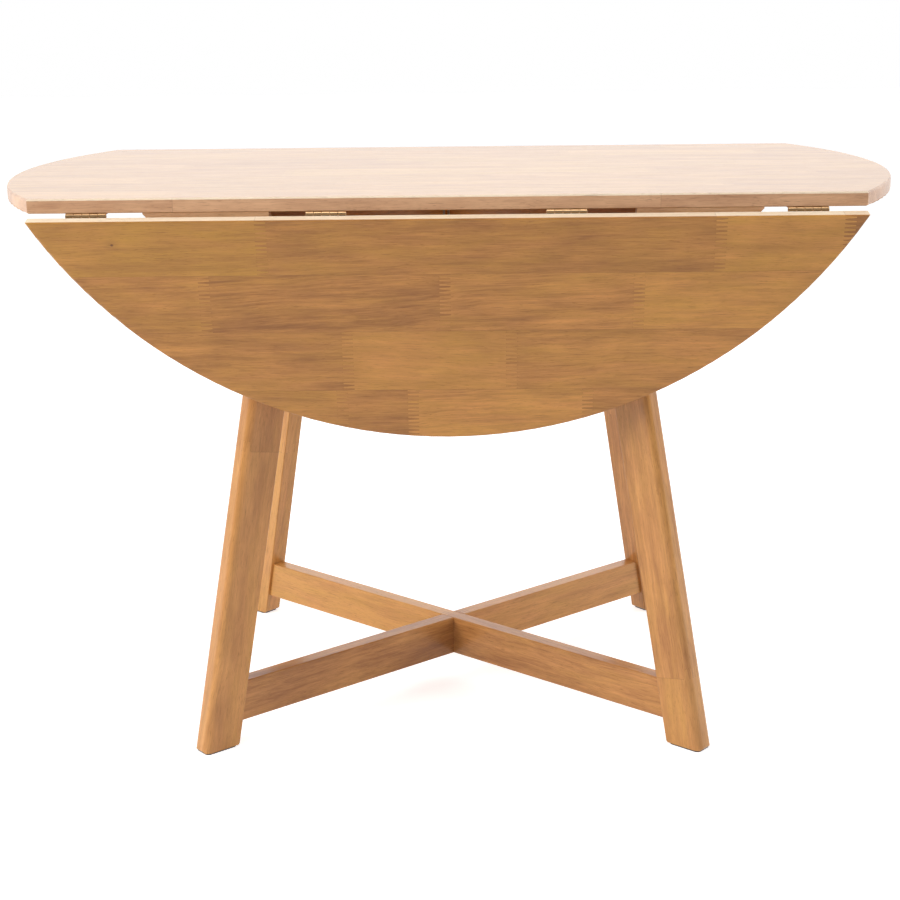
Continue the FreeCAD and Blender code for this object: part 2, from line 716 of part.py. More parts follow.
# A clevis of a folding stay, drawn about its rivet on X: a foot screwed to the wood a given
# drop above the rivet, and two cheeks that hold the bar between them.
def clevis(label, drop, root_width, placement):
    body = new_body(label, placement)
    gap = s.bar_thickness + s.clevis_gap * 2
    foot = drop - s.clevis_wall
    sketch = new_sketch(body, "XY_Plane", foot)
    wide, long = s.clevis_foot_width / 2, s.clevis_foot_length / 2
    draw_box(sketch, -wide, wide, -long, long)
    add_pad(body, sketch, s.clevis_wall)
    dress_edges(body, "Fillet", s.clevis_corner, lambda edge: not is_level(edge))
    sketch = new_sketch(body, "XY_Plane", foot)
    for x, y in foot_screws:
        draw_circle(sketch, x, y, screw_hole_radius)
    add_pocket(body, sketch, s.clevis_wall, upward=True)
    dress_edges(body, "Chamfer", screw_sink, lambda edge: near(edge.CenterOfMass.z, foot) and edge.Closed)
    sketch = new_sketch(body, "YZ_Plane")
    root, nose = root_width / 2, s.bar_width / 2
    draw_polygon(sketch, [(root, foot), (-root, foot), (-nose, -nose), (nose, -nose)])
    add_pad(body, sketch, gap + s.clevis_wall * 2, both_ways=True)
    dress_edges(body, "Fillet", nose * 0.9, lambda edge: near(edge.CenterOfMass.z, -nose)
                and near(abs(edge.CenterOfMass.y), nose))
    sketch = new_sketch(body, "YZ_Plane")
    draw_box(sketch, -root_width, root_width, -s.bar_width, foot)
    add_pocket(body, sketch, gap, both_ways=True)
    sketch = new_sketch(body, "YZ_Plane")
    draw_circle(sketch, ZERO, ZERO, s.rivet_diameter / 2 + s.rivet_clearance)
    add_pocket(body, sketch, s.clevis_foot_width, both_ways=True)


def rivet(label, span, placement):
    body = new_body(label, placement)
    sketch = new_sketch(body, "YZ_Plane")
    draw_circle(sketch, ZERO, ZERO, s.rivet_diameter / 2)
    add_pad(body, sketch, span, both_ways=True)
    for level in (span / 2, -(span / 2) - s.rivet_head_height):
        sketch = new_sketch(body, "YZ_Plane", level)
        draw_circle(sketch, ZERO, ZERO, s.rivet_head_diameter / 2)
        add_pad(body, sketch, s.rivet_head_height)
    dress_edges(body, "Fillet", s.rivet_head_height / 2, lambda edge: edge.Closed
                and near(abs(edge.CenterOfMass.x), span / 2 + s.rivet_head_height))


def stay_rivets(span):
    """The rivets of both stay brackets, headed at each end."""
    body = new_body("stay_rivets")
    level = hinge_level - s.stay_pivot_drop
    spots = [
        (bar_offset * side, across(s.panel_width / 2 - s.stay_pivot_inset, side)) for side in (-1, 1)
    ]
    for x, y in spots:
        sketch = new_sketch(body, "YZ_Plane", x)
        draw_circle(sketch, y, level, s.rivet_diameter / 2)
        add_pad(body, sketch, span, both_ways=True)
    for x, y in spots:
        for start in (x + span / 2, x - span / 2 - s.rivet_head_height):
            sketch = new_sketch(body, "YZ_Plane", start)
            draw_circle(sketch, y, level, s.rivet_head_diameter / 2)
            add_pad(body, sketch, s.rivet_head_height)
    ends = [x + (span / 2 + s.rivet_head_height) * way for x, y in spots for way in (-1, 1)]
    dress_edges(body, "Fillet", s.rivet_head_height / 2, lambda edge: edge.Closed
                and any(near(edge.CenterOfMass.x, end) for end in ends))


# The bars of a stay are drawn from their clevis rivet along +Y.
def stay_arm(label, placement):
    body = new_body(label, placement)
    sketch = new_sketch(body, "YZ_Plane")
    draw_slot(sketch, ZERO, s.arm_length, s.bar_width / 2)
    for place in (ZERO, s.arm_length):
        draw_circle(sketch, place, ZERO, s.rivet_diameter / 2 + s.rivet_clearance)
    add_pad(body, sketch, s.bar_thickness, both_ways=True)


def stay_link(label, placement):
    body = new_body(label, placement)
    sketch = new_sketch(body, "YZ_Plane")
    draw_slot(sketch, ZERO, link_length, s.bar_width / 2)
    draw_circle(sketch, ZERO, ZERO, s.rivet_diameter / 2 + s.rivet_clearance)
    draw_slot(sketch, link_length - s.slot_travel, link_length, s.rivet_diameter / 2 + s.slot_play)
    add_pad(body, sketch, s.bar_thickness, both_ways=True)


# The stay is straight when its leaf is level, so the link takes up what the arm leaves.
shoe_fall = s.shoe_drop - pivot_drop
stay_run = s.shoe_reach + s.stay_pivot_inset
stay_rise = s.stay_pivot_drop - shoe_fall
link_length = root_of(stay_run * stay_run + stay_rise * stay_rise) - s.arm_length


def stay_rest():
    """Rivet places of the folded stay, as y and z from the hinge axis."""
    swing = math.radians(90 + s.leaf_tilt.value)
    reach, fall = s.shoe_reach.value, -shoe_fall.value
    shoe = Vector(0, reach * math.cos(swing) + fall * math.sin(swing),
                  fall * math.cos(swing) - reach * math.sin(swing))
    pivot = Vector(0, -s.stay_pivot_inset.value, -s.stay_pivot_drop.value)
    apart = shoe - pivot
    arm, link = s.arm_length.value, link_length.value
    along = (arm**2 - link**2 + apart.Length**2) / (2 * apart.Length)
    aside = math.sqrt(arm**2 - along**2)
    ahead = apart / apart.Length
    elbow = pivot + ahead * along + Vector(0, ahead.z, -ahead.y) * aside
    return pivot, shoe, elbow


def bar_turn(start, end):
    run = end - start
    return Rotation(Vector(1, 0, 0), math.degrees(math.atan2(run.z, run.y)))


centre_panel()
for name, angle, notch_on_top in (("a", 1, True), ("b", -1, False)):
    turned = Placement(Vector(), Rotation(Vector(0, 0, 1), s.frame_angle.value * angle))
    rail(f"rail_{name}", notch_on_top, turned)
    stretcher(f"stretcher_{name}", notch_on_top, turned)
half_turn = Rotation(Vector(0, 0, 1), math.degrees(math.pi))
for name, facing, way in (
    ("front_left", half_turn, 1), ("front_right", Rotation(), -1),
    ("rear_right", Rotation(), 1), ("rear_left", half_turn, -1),
):
    turned = Placement(Vector(), facing * Rotation(Vector(0, 0, 1), s.frame_angle.value * way))
    leg(f"leg_{name}", turned)
    foot_pad(f"foot_pad_{name}", turned)
leg_dowels()
rail_fixings()

plate_outer = pivot_drop - s.plate_thickness
clevis_span = s.bar_thickness + (s.clevis_gap + s.clevis_wall) * 2
for name, side in (("front", -1), ("rear", 1)):
    # The hinge line's own frame: +Y points away from the table, and the leaf swings about X.
    line = Placement(Vector(0, side * s.panel_width.value / 2, hinge_level.value),
                     half_turn if side < 0 else Rotation())
    hanging = line * Placement(Vector(), Rotation(Vector(1, 0, 0), -90 - s.leaf_tilt.value))
    leaf(f"{name}_leaf", hanging)
    for i, place in enumerate(hinge_places, start=1):
        shift = Placement(Vector(place.value, 0, 0), Rotation())
        facing = Placement(Vector(), half_turn)
        hinge_plate(f"{name}_panel_plate_{i}", (0, 2, 4), line * shift * facing)
        hinge_plate(f"{name}_leaf_plate_{i}", (1, 3), hanging * shift)
    for word, way in (("left", -side), ("right", side)):
        batten(f"{name}_{word}_batten", way, line)
    screw_group(f"{name}_leaf_hinge_screws", plate_outer, hinge_screws, hanging)

    pivot, shoe, elbow = stay_rest()
    beside = Vector(bar_offset.value, 0, 0)
    at_pivot = line * Placement(pivot + beside, Rotation())
    clevis(f"{name}_stay_bracket", s.stay_pivot_drop + pivot_drop, s.clevis_root, at_pivot)
    at_shoe = hanging * Placement(Vector(-bar_offset.value, s.shoe_reach.value, -shoe_fall.value), Rotation())
    clevis(f"{name}_leaf_shoe", s.shoe_drop, s.bar_width, at_shoe)
    rivet(f"{name}_shoe_rivet", clevis_span, at_shoe)
    screw_group(f"{name}_shoe_screws", s.shoe_drop - s.clevis_wall, foot_screws, at_shoe)
    stay_arm(f"{name}_stay_arm", line * Placement(pivot + beside, bar_turn(pivot, elbow)))
    stay_link(f"{name}_stay_link", line * Placement(shoe - beside, bar_turn(shoe, elbow)))
    rivet(f"{name}_elbow_rivet", s.bar_thickness * 2 + s.bar_gap, line * Placement(elbow, Rotation()))

hinge_pins()
stay_rivets(clevis_span)
screw_group("panel_hinge_screws", underside - s.plate_thickness, panel_plate_spots)
screw_group("stay_screws", underside - s.clevis_wall, stay_spots)
screw_group("batten_screws", underside - s.batten_height + batten_sink, batten_spots)

doc.recompute()
for item in doc.Objects:
    if {"Invalid", "Error"} & set(item.State):
        raise RuntimeError(f"{item.Label} failed: {item.State}")
for body in pieces:
    if body.Shape.isNull() or not body.Shape.isValid():
        raise RuntimeError(f"{body.Label} has no valid shape")
os.makedirs("parts", exist_ok=True)
for body in pieces:
    body.Shape.exportStep(f"parts/{body.Label}.step")
print(len(pieces), "pieces written")
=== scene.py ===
import math

import bpy
from mathutils import Matrix, Vector


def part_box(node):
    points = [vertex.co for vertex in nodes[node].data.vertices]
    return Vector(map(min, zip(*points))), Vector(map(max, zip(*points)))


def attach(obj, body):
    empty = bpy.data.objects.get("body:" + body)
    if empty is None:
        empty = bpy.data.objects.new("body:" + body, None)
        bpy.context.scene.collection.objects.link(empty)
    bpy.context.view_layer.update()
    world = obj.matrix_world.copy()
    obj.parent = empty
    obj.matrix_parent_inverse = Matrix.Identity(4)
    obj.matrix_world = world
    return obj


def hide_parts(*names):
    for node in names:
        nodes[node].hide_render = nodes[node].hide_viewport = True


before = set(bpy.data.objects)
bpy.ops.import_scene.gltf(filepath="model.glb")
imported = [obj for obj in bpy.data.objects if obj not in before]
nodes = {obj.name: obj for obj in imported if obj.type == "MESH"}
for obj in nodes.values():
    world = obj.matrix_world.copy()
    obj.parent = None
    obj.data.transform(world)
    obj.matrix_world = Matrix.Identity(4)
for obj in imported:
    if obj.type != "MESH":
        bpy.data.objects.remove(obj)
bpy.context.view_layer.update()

# Centre panel: the fixed strip of the round top. It is made of hardwood staves about 75 mm wide,
# glued edge to edge with finger joints in their length, sanded flush, stained and lacquered satin,
# and it lies on the crossed rails, held by bolts from below.


class Tone:
    """A number, place or colour that varies over a finish, with the arithmetic that shapes it."""

    def __init__(self, tree, socket=None):
        self.tree = tree
        self.socket = socket

    def node(self, kind, settings=None, inputs=None, output=0):
        """Adds a node: its settings first, then the values or links of its sockets."""
        made = self.tree.nodes.new(kind)
        for name, value in (settings or {}).items():
            setattr(made, name, value)
        for name, value in (inputs or {}).items():
            if isinstance(value, Tone):
                self.tree.links.new(value.socket, made.inputs[name])
            else:
                made.inputs[name].default_value = value
        if isinstance(output, tuple):
            return [Tone(self.tree, made.outputs[one]) for one in output]
        return Tone(self.tree, made.outputs[output])

    def math(self, operation, *values):
        return self.node("ShaderNodeMath", {"operation": operation}, dict(enumerate(values)))

    def __add__(self, other):
        return self.math("ADD", self, other)

    __radd__ = __add__

    def __sub__(self, other):
        return self.math("SUBTRACT", self, other)

    def __rsub__(self, other):
        return self.math("SUBTRACT", other, self)

    def __mul__(self, other):
        return self.math("MULTIPLY", self, other)

    __rmul__ = __mul__

    def __gt__(self, other):
        return self.math("GREATER_THAN", self, other)

    def __lt__(self, other):
        return self.math("LESS_THAN", self, other)

    def __abs__(self):
        return self.math("ABSOLUTE", self)

    def saw(self):
        """The part of the number after its point."""
        return self.math("FRACT", self)

    def zigzag(self):
        """1 at every whole number, 0 halfway to the next, and straight in between."""
        return abs(self.saw() - 0.5) * 2.0

    def between(self, low, high):
        """0 up to low, 1 from high, and smooth in between."""
        settings = {"interpolation_type": "SMOOTHSTEP"}
        inputs = {"Value": self, "From Min": low, "From Max": high}
        return self.node("ShaderNodeMapRange", settings, inputs)

    def stretched(self, *factors):
        """A place, stretched along each of its axes."""
        return self.node("ShaderNodeVectorMath", {"operation": "MULTIPLY"}, {0: self, 1: factors})

    def moved(self, other):
        """A place, moved by another."""
        return self.node("ShaderNodeVectorMath", {"operation": "ADD"}, {0: self, 1: other})

    def noise(self, scale, detail, roughness=0.5):
        """Cloudy noise over a place, with about so many clouds to a metre."""
        inputs = {"Vector": self, "Scale": scale, "Detail": detail, "Roughness": roughness}
        return self.node("ShaderNodeTexNoise", None, inputs)

    def grain(self, along, across, detail, roughness=0.5):
        """Noise with so many clouds to a metre along the first axis, and so many across it."""
        return self.stretched(along, across, across).noise(1.0, detail, roughness)

    def relief(self, strength, height):
        """The number as a rise and fall of the surface."""
        inputs = {"Strength": strength, "Distance": height, "Height": self}
        return self.node("ShaderNodeBump", None, inputs)

    def blended(self, first, second):
        """One colour turning into another as the number goes from 0 to 1."""
        # The node's colours are its inputs 6 and 7 and its output 2.
        settings = {"data_type": "RGBA"}
        return self.node("ShaderNodeMix", settings, {0: self, 6: first, 7: second}, 2)


def new_finish(name):
    """An empty material, and the start of its nodes: places on the piece as it stands at rest."""
    material = bpy.data.materials.new(name)
    material.use_nodes = True
    material.node_tree.nodes.clear()
    place = Tone(material.node_tree).node("ShaderNodeTexCoord", None, None, "Object")
    return material, place


def close_finish(place, inputs):
    """The shader with these inputs, as the material's surface."""
    shader = place.node("ShaderNodeBsdfPrincipled", None, inputs)
    place.node("ShaderNodeOutputMaterial", None, {"Surface": shader}, ())


def dress(material, *names):
    """Gives the named pieces that material in every slot."""
    for name in names:
        mesh = nodes[name].data
        mesh.materials.clear()
        mesh.materials.append(material)
        for face in mesh.polygons:
            face.material_index = 0


FINGER_LENGTH, FINGER_PITCH, FINGER_FLANK = 0.014, 0.0054, (0.25, 0.75)
GLUE_WIDTH = 0.0006
ROW_STEP = 5.3


def stave_layout(along, side, rows, seed):
    """Each stave's tone, yellowness and number, and the glue lines between them. A row of staves
    is its start, its first stave's tone and yellowness, and its joints, each with those of the
    stave that follows."""
    fingers = (side * (1 / FINGER_PITCH)).zigzag().between(*FINGER_FLANK)
    toothed = along + (fingers - 0.5) * FINGER_LENGTH
    tone, yellow, stave, glue = 0.0, 0.0, float(seed), 0.0
    for i, (start, first, joints) in enumerate(rows):
        inside = 1.0
        if i > 0:
            inside = side > start
            glue = glue + (abs(side - start) < GLUE_WIDTH / 2)
        if i + 1 < len(rows):
            inside = inside - (side > rows[i + 1][0])
        row_tone, row_yellow = first
        row_stave, row_glue, before = i * ROW_STEP, 0.0, first
        for joint, *then in joints:
            passed = toothed > joint
            row_tone = row_tone + passed * (then[0] - before[0])
            row_yellow = row_yellow + passed * (then[1] - before[1])
            row_stave = row_stave + passed
            row_glue = row_glue + (abs(toothed - joint) < GLUE_WIDTH / 2)
            before = then
        tone = tone + inside * row_tone
        yellow = yellow + inside * row_yellow
        stave = stave + inside * row_stave
        glue = glue + inside * row_glue
    return tone, yellow, stave, glue


# Every stave is cut from another place in the wood, with its own slant and strength of figure.
SHIFT_DRAW, FIGURE_DRAW = 0.5, 0.7
STAVE_SHIFT, STAVE_SLANT = (7.0, 3.0, 3.0), 0.11
# Marks in the wood: so many to a metre along the grain and across it, and how finely broken.
SWAY_MARKS, SWAY_WIDTH = (7.0, 22.0, 1.0), 0.010
FLOW_MARKS, RINGS_PER_FLOW = (0.8, 9.0, 1.0), 9.0
BAND_MARKS = (2.0, 42.0, 2.0)
STREAK_MARKS = (13.0, 200.0, 3.0, 0.6)
FIBRE_MARKS = (34.0, 800.0, 2.0)
MOTTLE_MARKS = (16.0, 38.0, 3.0)
TINT_MARKS, TINT_MIDDLE = (10.0, 55.0, 2.0), 0.44
PORE_MARKS, PORE_LIMITS = (95.0, 1500.0, 1.0), (0.60, 0.75)
VESSEL_MARKS, VESSEL_LIMITS = (30.0, 850.0, 1.0), (0.64, 0.76)
# How much each mark lightens, yellows or darkens the wood, and how it shows in the surface.
STAVE_SHADE, RING_SHADE, BAND_SHADE, FIBRE_SHADE, MOTTLE_SHADE = 0.32, 0.18, 0.60, 0.60, 0.75
STREAK_SHADE, STREAK_RANGE = 0.45, 0.90
STAVE_YELLOW, TINT_YELLOW, LEAST_GOLDEN = 0.8, 1.7, 0.2
PORE_DARK, VESSEL_DARK, GLUE_DARK = 0.36, 0.33, 0.30
PORE = (0.13, 0.045, 0.012, 1.0)
STREAK_RISE, FIBRE_RISE, PORE_DIP, VESSEL_DIP, GLUE_DIP = 0.4, 0.3, 0.8, 0.4, 0.5
GRAIN_STRENGTH, GRAIN_HEIGHT = 0.20, 0.0002
# A knot has a dark heart, and a faint rim round it.
KNOT_SQUASH, HEART_SHARE, RIM_SHARE = 0.85, 0.3, 5.0
HEART_DARK, RIM_DARK = 0.75, 0.16
# Satin lacquer, thinner over the pores.
LACQUER = {"Specular IOR Level": 0.25, "Coat Roughness": 0.18, "Coat IOR": 1.4}
LACQUER_COAT, PORE_BARE = 0.6, 0.3
WOOD_ROUGH, STREAK_ROUGH, PORE_ROUGH = 0.36, 0.10, 0.15


def board_finish(name, origin, turn, stain, rows, seed, knots=(), bare_and_highlights=()):
    """Lacquered staves, with the grain along the board's own first axis and the rows of staves
    side by side along its second. A stain is the darkest, lightest and yellowest wood. Bare wood
    sawn after staining, and pale bands painted as highlights, are each given by their bounds,
    from where to where, and two shades."""
    material, place = new_finish(name)
    inputs = {"Vector": place, "Location": origin, "Rotation": turn}
    place = place.node("ShaderNodeMapping", {"vector_type": "TEXTURE"}, inputs)
    along, side, through = place.node("ShaderNodeSeparateXYZ", None, {0: place}, (0, 1, 2))
    tone, yellow, stave, glue = stave_layout(along, side, rows, seed)
    settings = {"noise_dimensions": "1D"}
    chance = place.node("ShaderNodeTexWhiteNoise", settings, {"W": stave + SHIFT_DRAW}, "Color")
    figure = place.node("ShaderNodeTexWhiteNoise", settings, {"W": stave + FIGURE_DRAW}, "Value")
    own = place.moved(chance.stretched(*STAVE_SHIFT))
    sway = own.grain(*SWAY_MARKS) * SWAY_WIDTH
    slant = along * ((figure - 0.5) * STAVE_SLANT)
    grown = own.moved(own.node("ShaderNodeCombineXYZ", None, {1: sway + slant, 2: sway}))
    rings = (grown.grain(*FLOW_MARKS) * RINGS_PER_FLOW).zigzag()
    band = grown.grain(*BAND_MARKS)
    streak = grown.grain(*STREAK_MARKS)
    fibre = grown.grain(*FIBRE_MARKS)
    mottle = own.grain(*MOTTLE_MARKS)
    tint = own.grain(*TINT_MARKS)
    pores = grown.grain(*PORE_MARKS).between(*PORE_LIMITS)
    vessels = grown.grain(*VESSEL_MARKS).between(*VESSEL_LIMITS)

    depth = 0.5 + tone * STAVE_SHADE + (rings - 0.5) * RING_SHADE + (band - 0.5) * BAND_SHADE
    depth = depth + (streak - 0.5) * (STREAK_SHADE + figure * STREAK_RANGE)
    depth = depth + (fibre - 0.5) * FIBRE_SHADE + (mottle - 0.5) * MOTTLE_SHADE
    dark, light, golden = stain
    colour = depth.blended(dark, light)
    yellow = yellow * STAVE_YELLOW + (tint - TINT_MIDDLE) * TINT_YELLOW
    golden_depth = depth * (1 - LEAST_GOLDEN) + LEAST_GOLDEN
    colour = yellow.blended(colour, golden_depth.blended(dark, golden))
    for bounds, shades in bare_and_highlights:
        within = 1.0
        for axis, low, high in bounds:
            reach = {"side": side, "through": through}[axis]
            within = (reach > low) * (reach < high) * within
        colour = within.blended(colour, depth.blended(*shades))
    spots = 0.0
    for spot_along, spot_side, size in knots:
        flat = place.stretched(KNOT_SQUASH, 1.0, 0.0)
        inputs = {0: flat, 1: (spot_along * KNOT_SQUASH, spot_side, 0.0)}
        apart = flat.node("ShaderNodeVectorMath", {"operation": "DISTANCE"}, inputs, "Value")
        heart = 1 - apart.between(size * HEART_SHARE, size)
        rim = 1 - apart.between(size, size * RIM_SHARE)
        spots = spots + heart * HEART_DARK + rim * RIM_DARK
    marked = pores * PORE_DARK + vessels * VESSEL_DARK + glue * GLUE_DARK + spots
    colour = marked.blended(colour, PORE)
    surface = streak * STREAK_RISE + fibre * FIBRE_RISE
    surface = surface - pores * PORE_DIP - vessels * VESSEL_DIP - glue * GLUE_DIP
    close_finish(place, {
        "Base Color": colour, "Normal": surface.relief(GRAIN_STRENGTH, GRAIN_HEIGHT),
        "Roughness": WOOD_ROUGH + streak * STREAK_ROUGH + pores * PORE_ROUGH,
        "Coat Weight": LACQUER_COAT - pores * PORE_BARE, **LACQUER,
    })
    return material


TOP_STAIN = ((0.37, 0.172, 0.065, 1.0), (0.59, 0.325, 0.127, 1.0), (0.54, 0.312, 0.092, 1.0))
SAWN_EDGE = ((0.396, 0.190, 0.097, 1.0), (0.707, 0.420, 0.237, 1.0))
# Bare wood, made paler still as a painted highlight on the hinge edges.
BARE_WOOD_AND_HIGHLIGHT = ((0.90, 0.700, 0.490, 1.0), (1.00, 0.860, 0.660, 1.0))
STAVE_WIDTH = 0.075
PANEL_STAVES = [
    ((0.7, 0.0), [(-0.346, 0.5, 0.0), (0.258, 0.0, 0.0)]),
    ((-0.3, 0.2), [(-0.14, 0.3, 0.0), (0.36, -0.4, 0.0)]),
    ((0.4, 0.0), [(-0.41, -0.1, 0.3), (0.05, 0.2, 0.0), (0.49, -0.5, 0.0)]),
    ((-0.1, 0.1), [(-0.22, 0.5, 0.4), (0.28, 0.0, 0.0)]),
    ((0.1, 0.0), [(-0.37, -0.5, 0.0), (-0.03, 0.3, 0.2), (0.40, 0.1, 0.0)]),
    ((-0.4, 0.0), [(-0.10, 0.1, 0.3), (0.22, -0.2, 0.0)]),
    ((0.3, 0.2), [(-0.30, 0.0, 0.0), (0.17, 0.5, 0.1), (0.46, -0.3, 0.0)]),
    ((0.0, 0.0), [(-0.18, -0.4, 0.2), (0.33, 0.2, 0.0)]),
]
PANEL_SEED = 3
UNTURNED = (0.0, 0.0, 0.0)
# The edges are sawn after staining, a little short of the hinge lines. Along the hinge edges a
# band at the upper arris is painted pale, as a painted highlight.
EDGE_SKIN, ARRIS_SKIN, ARRIS_DEPTH = 0.0007, 0.0002, 0.0022
EDGE_GAP = 0.0005
panel_low, panel_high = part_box("centre_panel")
hinge_line = panel_high.y + EDGE_GAP
panel_rows = [(i * STAVE_WIDTH - hinge_line, *row) for i, row in enumerate(PANEL_STAVES)]
thickness = panel_high.z - panel_low.z
# The band at the upper arris that takes the painted highlight.
arris_highlight = ("through", thickness - ARRIS_DEPTH, thickness - ARRIS_SKIN)
panel_edges_and_highlights = [([("through", EDGE_SKIN, thickness - ARRIS_SKIN)], SAWN_EDGE)]
for edge in (panel_low.y, panel_high.y):
    panel_edges_and_highlights.append(([("side", edge - EDGE_SKIN, edge + EDGE_SKIN), arris_highlight], BARE_WOOD_AND_HIGHLIGHT))
finish = board_finish(
    "panel_staves", (0.0, 0.0, panel_low.z), UNTURNED, TOP_STAIN, panel_rows, PANEL_SEED, (), panel_edges_and_highlights)
dress(finish, "centre_panel")

# Drop leaves: the two half-moons of the round top, made of the same glued staves as the panel and
# hung from it by four brass butt hinges each. At rest they hang down, leaning in at the bottom.
# Their hinge edge is bare wood, painted paler still as a highlight from the light above, and the
# finish of the outer face laps over its arris.
HONEY_STAIN = ((0.276, 0.104, 0.022, 1.0), (0.640, 0.281, 0.068, 1.0), (0.544, 0.268, 0.041, 1.0))
PIN_DROP = 0.0038
LEAF_LEAN = math.radians(12.0)
FRONT_LEAF_ROWS = [
    (0.000, (0.1, 0.9), [(-0.229, -0.3, 0.3), (0.338, 0.6, 0.5), (0.496, -1.0, 0.0)]),
    (0.072, (-0.1, 0.3), [(-0.304, -0.4, 0.0), (-0.003, 0.2, 0.1), (0.240, 0.9, 0.4)]),
    (0.149, (-0.1, 0.1), [(-0.128, 0.6, 0.3), (0.081, 0.3, 0.1)]),
    (0.231, (0.3, 0.2), [(-0.137, -0.4, 0.0), (-0.046, 0.7, 0.2), (0.179, -0.2, 0.0)]),
]
REAR_LEAF_ROWS = [
    (0.000, (-0.1, 0.0), [(-0.31, 0.3, 0.4), (0.05, -0.2, 0.0), (0.42, 0.4, 0.2)]),
    (0.074, (0.3, 0.2), [(-0.16, -0.3, 0.0), (0.27, 0.1, 0.5)]),
    (0.151, (-0.2, 0.0), [(-0.24, 0.2, 0.3), (0.13, -0.1, 0.0)]),
    (0.229, (0.4, 0.3), [(-0.05, -0.3, 0.0), (0.19, 0.1, 0.1)]),
]
FRONT_LEAF_KNOTS = [(-0.414, 0.030, 0.0023)]
FRONT_LEAF_SEED, REAR_LEAF_SEED = 67, 131
EDGE_DEPTH, FINISH_LAP = 0.00055, 0.0035
hinge_level = panel_low.z - PIN_DROP
outer_face = hinge_level - panel_high.z
# The hinge edge: bare wood with a painted highlight.
leaf_edge_and_highlight = [([("side", -EDGE_SKIN, EDGE_DEPTH), ("through", outer_face + FINISH_LAP, 0.0)], BARE_WOOD_AND_HIGHLIGHT)]
leaf_turn = LEAF_LEAN - math.pi / 2
for end, side, about, rows, seed, knots in (
        ("front", -1, 0.0, FRONT_LEAF_ROWS, FRONT_LEAF_SEED, FRONT_LEAF_KNOTS),
        ("rear", 1, math.pi, REAR_LEAF_ROWS, REAR_LEAF_SEED, ())):
    pin = (0.0, hinge_line * side, hinge_level)
    turn = (leaf_turn, 0.0, about)
    finish = board_finish(f"{end}_leaf_staves", pin, turn, HONEY_STAIN, rows, seed, knots, leaf_edge_and_highlight)
    dress(finish, f"{end}_leaf")

# Edge battens: four short bars under the panel along its hinge edges, outside the legs. They are
# sawn from the same wood, undercut at the outer end, and each is held by two sunk screws. Their
# stain is painted lighter than the frame's, as painted light against the shade under the panel.
BATTEN_STAIN_AND_LIGHT = ((0.52, 0.248, 0.115, 1.0), (0.90, 0.540, 0.280, 1.0), (0.80, 0.480, 0.200, 1.0))
BATTEN_ROWS = [(0.0, (0.2, 0.0), [(0.30, 0.2, 0.0)])]
BATTEN_SEED, BATTEN_SEED_STEP = 211, 17
for i, name in enumerate(("front_left", "front_right", "rear_left", "rear_right")):
    corner = tuple(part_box(f"{name}_batten")[0])
    seed = BATTEN_SEED + BATTEN_SEED_STEP * i
    finish = board_finish(f"{name}_batten_lit_wood", corner, UNTURNED, BATTEN_STAIN_AND_LIGHT, BATTEN_ROWS, seed)
    dress(finish, f"{name}_batten")

# Crossed rails and stretchers: two boards above and two below, each pair half-lapped at the middle.
# The rails carry the panel, the stretchers are tenoned into the legs just above the floor.
FRAME_STAIN = ((0.34, 0.132, 0.038, 1.0), (0.69, 0.325, 0.102, 1.0), (0.62, 0.320, 0.073, 1.0))
FRAME_ANGLE = math.radians(40.35)
# The two halves of each stretcher differ in tone, partly the wood's own and partly painted light: the
# front-left half of stretcher_a is darker as painted shade, the rear-left half of stretcher_b lighter as
# painted light.
BEAMS = {
    "rail_a": (FRAME_ANGLE, (0.0, 0.1), [(-0.11, 0.3, 0.2)]),
    "rail_b": (-FRAME_ANGLE, (0.2, 0.1), [(0.16, -0.2, 0.0)]),
    "stretcher_a": (FRAME_ANGLE, (-0.8, 0.0), [(0.02, 0.8, 0.2)]),
    "stretcher_b": (-FRAME_ANGLE, (1.3, 0.4), [(-0.01, -0.25, 0.0)]),
}
BEAM_SEED, BEAM_SEED_STEP = 301, 23
for i, (name, (turn, *staves)) in enumerate(BEAMS.items()):
    middle = (0.0, 0.0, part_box(name)[0].z)
    seed = BEAM_SEED + BEAM_SEED_STEP * i
    finish = board_finish(f"{name}_wood", middle, (0.0, 0.0, turn), FRAME_STAIN, [(0.0, *staves)], seed)
    dress(finish, name)

# Legs: four boards set on edge along the diagonals, splayed outwards, with their long edges
# rounded. The rails are dowelled to their heads.
LEG_LEAN = math.radians(10.75)
# The rear-left leg's tone is set lighter than the others', partly as painted light.
LEGS = {
    "front_left": (math.pi + FRAME_ANGLE, (0.35, 0.0), [(0.42, 0.15, 0.0)]),
    "front_right": (-FRAME_ANGLE, (0.4, 0.3), [(0.105, 0.1, 0.1), (0.55, 0.3, 0.2)]),
    "rear_left": (math.pi - FRAME_ANGLE, (1.2, 0.3), [(0.30, 1.0, 0.3)]),
    "rear_right": (FRAME_ANGLE, (-0.1, 0.0), [(0.36, 0.2, 0.2)]),
}
LEG_SEED, LEG_SEED_STEP = 401, 29
for i, (name, (turn, *staves)) in enumerate(LEGS.items()):
    low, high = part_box(f"foot_pad_{name}")
    foot = ((low.x + high.x) / 2, (low.y + high.y) / 2, 0.0)
    standing = (0.0, -math.pi / 2 - LEG_LEAN, turn)
    seed = LEG_SEED + LEG_SEED_STEP * i
    finish = board_finish(f"leg_{name}_wood", foot, standing, FRAME_STAIN, [(0.0, *staves)], seed)
    dress(finish, f"leg_{name}")

